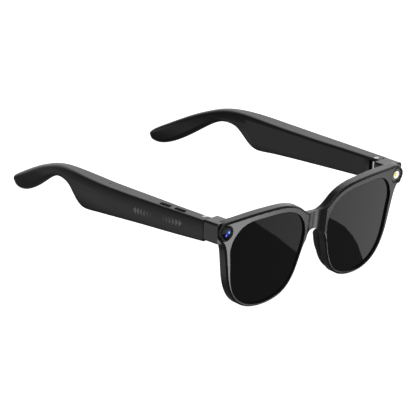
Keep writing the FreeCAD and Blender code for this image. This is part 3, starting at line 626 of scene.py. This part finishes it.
class GLASSES_OT_stage(bpy.types.Operator):
    """Sets the floor, the light around the glasses and the camera"""
    bl_idname = "glasses.stage"
    bl_label = "Stage"

    def execute(self, context):
        scene, studio = context.scene, context.scene.glasses_studio
        scene.view_settings.view_transform = "Standard"
        self.floor(scene)
        self.surround(scene, studio)
        self.cards(scene, studio)
        data = bpy.data.cameras.new("camera")
        data.sensor_width = 36.0
        data.lens = data.sensor_width * VIEW_DISTANCE / (studio.frame_width * MM)
        data.clip_end = 100.0
        camera = bpy.data.objects.new("camera", data)
        scene.collection.objects.link(camera)
        axes = [TURN.to_3x3() @ axis for axis in (VIEW_RIGHT, VIEW_UP, VIEW_BACK)]
        basis = Matrix(axes).transposed()
        seat = WORN @ VIEW_AIM + basis.col[2] * VIEW_DISTANCE
        camera.matrix_world = Matrix.Translation(seat) @ basis.to_4x4()
        scene.camera = camera
        return {"FINISHED"}

    def floor(self, scene):
        """A white table, lit evenly through its surface, that neither reflects nor shades anything."""
        bm = bmesh.new()
        bmesh.ops.create_grid(bm, x_segments=2, y_segments=2, size=TABLE_REACH)
        mesh = bpy.data.meshes.new("table")
        bm.to_mesh(mesh)
        bm.free()
        table = bpy.data.objects.new("table", mesh)
        scene.collection.objects.link(table)
        mesh.materials.append(finish("acrylic_white_lit", {
            "Base Color": linear("#e8e8e8"), "Roughness": 0.9, "Emission Color": (1, 1, 1, 1),
            "Emission Strength": 0.97}))
        table.visible_glossy = False
        table.visible_diffuse = False
        table.visible_shadow = False

    def cards(self, scene, studio):
        """A low softbox for the moulding alone, and two glowing cards that show in the lenses."""
        target = WORN @ SOFTBOX_TARGET
        towards = (TURN.to_3x3() @ SOFTBOX_WAY).normalized()
        data = bpy.data.lights.new("low_softbox", "AREA")
        data.shape = "DISK"
        data.size = SOFTBOX_WIDTH
        data.energy = studio.front
        light = bpy.data.objects.new("low_softbox", data)
        scene.collection.objects.link(light)
        facing = towards.to_track_quat("Z", "Y").to_matrix().to_4x4()
        light.matrix_world = Matrix.Translation(target + towards * SOFTBOX_DISTANCE) @ facing
        light.visible_camera = False
        lit = bpy.data.collections.new("lit_by_low_softbox")
        lit.objects.link(bpy.data.objects["front_moulding"])
        light.light_linking.receiver_collection = lit

        for name, outline, strength in (("near_card", NEAR_CARD, studio.near_card),
                                        ("far_card", FAR_CARD, studio.far_card)):
            bm = bmesh.new()
            corners = [bm.verts.new(WORN @ (CARD_CENTRE + CARD_ACROSS * a + CARD_UP * b))
                       for a, b in outline]
            bmesh.ops.contextual_create(bm, geom=corners)
            mesh = bpy.data.meshes.new(name)
            bm.to_mesh(mesh)
            bm.free()
            card = bpy.data.objects.new(name, mesh)
            scene.collection.objects.link(card)
            mesh.materials.append(finish(name + "_foam_board", {
                "Base Color": linear("#e0e0e0"), "Roughness": 0.9, "Emission Color": (1, 1, 1, 1),
                "Emission Strength": strength}))
            card.visible_camera = False
            card.visible_diffuse = False
            card.visible_shadow = False

    def surround(self, scene, studio):
        """A dark surround with wide soft lights.

        Each is a direction as worn, the degrees from it that are full and nothing, and a strength.
        """
        lights = [
            ((0.703, 0.623, 0.343), 16, 50, studio.rear),
            ((-0.703, 0.623, -0.343), 0, 30, studio.side),
            ((-0.1, -0.1, 1.0), 5, 36, 0.5 * studio.rear),
            ((-0.45, -0.85, 0.25), 10, 48, studio.fill),
            ((0.15, 0.95, 0.05), 8, 34, 0.9 * studio.fill),
            ((0.95, -0.1, 0.1), 5, 38, 0.8 * studio.fill),
        ]
        world = bpy.data.worlds.new("studio")
        scene.world = world
        world.use_nodes = True
        tree = world.node_tree
        tree.nodes.clear()
        place = add(tree, "ShaderNodeTexCoord")
        total = add(tree, "ShaderNodeValue").outputs[0]
        total.default_value = studio.base
        for direction, full, none, strength in lights:
            towards = (TURN.to_3x3() @ Vector(direction)).normalized()
            near = add(tree, "ShaderNodeVectorMath", {"operation": "DOT_PRODUCT", 1: towards},
                       {0: place.outputs["Generated"]})
            glow = add(tree, "ShaderNodeMapRange", {
                "interpolation_type": "SMOOTHSTEP", "From Min": math.cos(math.radians(none)),
                "From Max": math.cos(math.radians(full)), "To Max": strength},
                {"Value": near.outputs["Value"]})
            total = add(tree, "ShaderNodeMath", {"operation": "ADD"},
                        {0: total, 1: glow.outputs[0]}).outputs[0]
        sky = add(tree, "ShaderNodeBackground", None, {"Strength": total})
        sky.inputs["Color"].default_value = (1, 1, 1, 1)
        add(tree, "ShaderNodeOutputWorld", None, {"Surface": sky.outputs[0]})


class GLASSES_PT_panel(bpy.types.Panel):
    """Buttons for every step"""
    bl_idname = "GLASSES_PT_panel"
    bl_label = "Glasses"
    bl_space_type = "VIEW_3D"
    bl_region_type = "UI"
    bl_category = "Glasses"

    def draw(self, context):
        for operator in OPERATORS:
            self.layout.operator(operator.bl_idname)


GROUPS = (("glasses_modules", GlassesModules), ("glasses_marks", GlassesMarks),
          ("glasses_studio", GlassesStudio))
OPERATORS = (GLASSES_OT_fittings, GLASSES_OT_front, GLASSES_OT_lenses, GLASSES_OT_camera, GLASSES_OT_light,
             GLASSES_OT_temples, GLASSES_OT_marks, GLASSES_OT_stage)


def register():
    for name, group in GROUPS:
        bpy.utils.register_class(group)
        setattr(bpy.types.Scene, name, PointerProperty(type=group))
    for made in OPERATORS + (GLASSES_PT_panel,):
        bpy.utils.register_class(made)


def unregister():
    for made in (GLASSES_PT_panel,) + OPERATORS[::-1]:
        bpy.utils.unregister_class(made)
    for name, group in GROUPS[::-1]:
        delattr(bpy.types.Scene, name)
        bpy.utils.unregister_class(group)


def main():
    register()
    bpy.ops.glasses.fittings()
    bpy.ops.glasses.front()
    bpy.ops.glasses.lenses()
    bpy.ops.glasses.camera()
    bpy.ops.glasses.light()
    bpy.ops.glasses.temples()
    bpy.ops.glasses.marks()
    bpy.ops.glasses.stage()


if __name__ == "__main__":
    main()
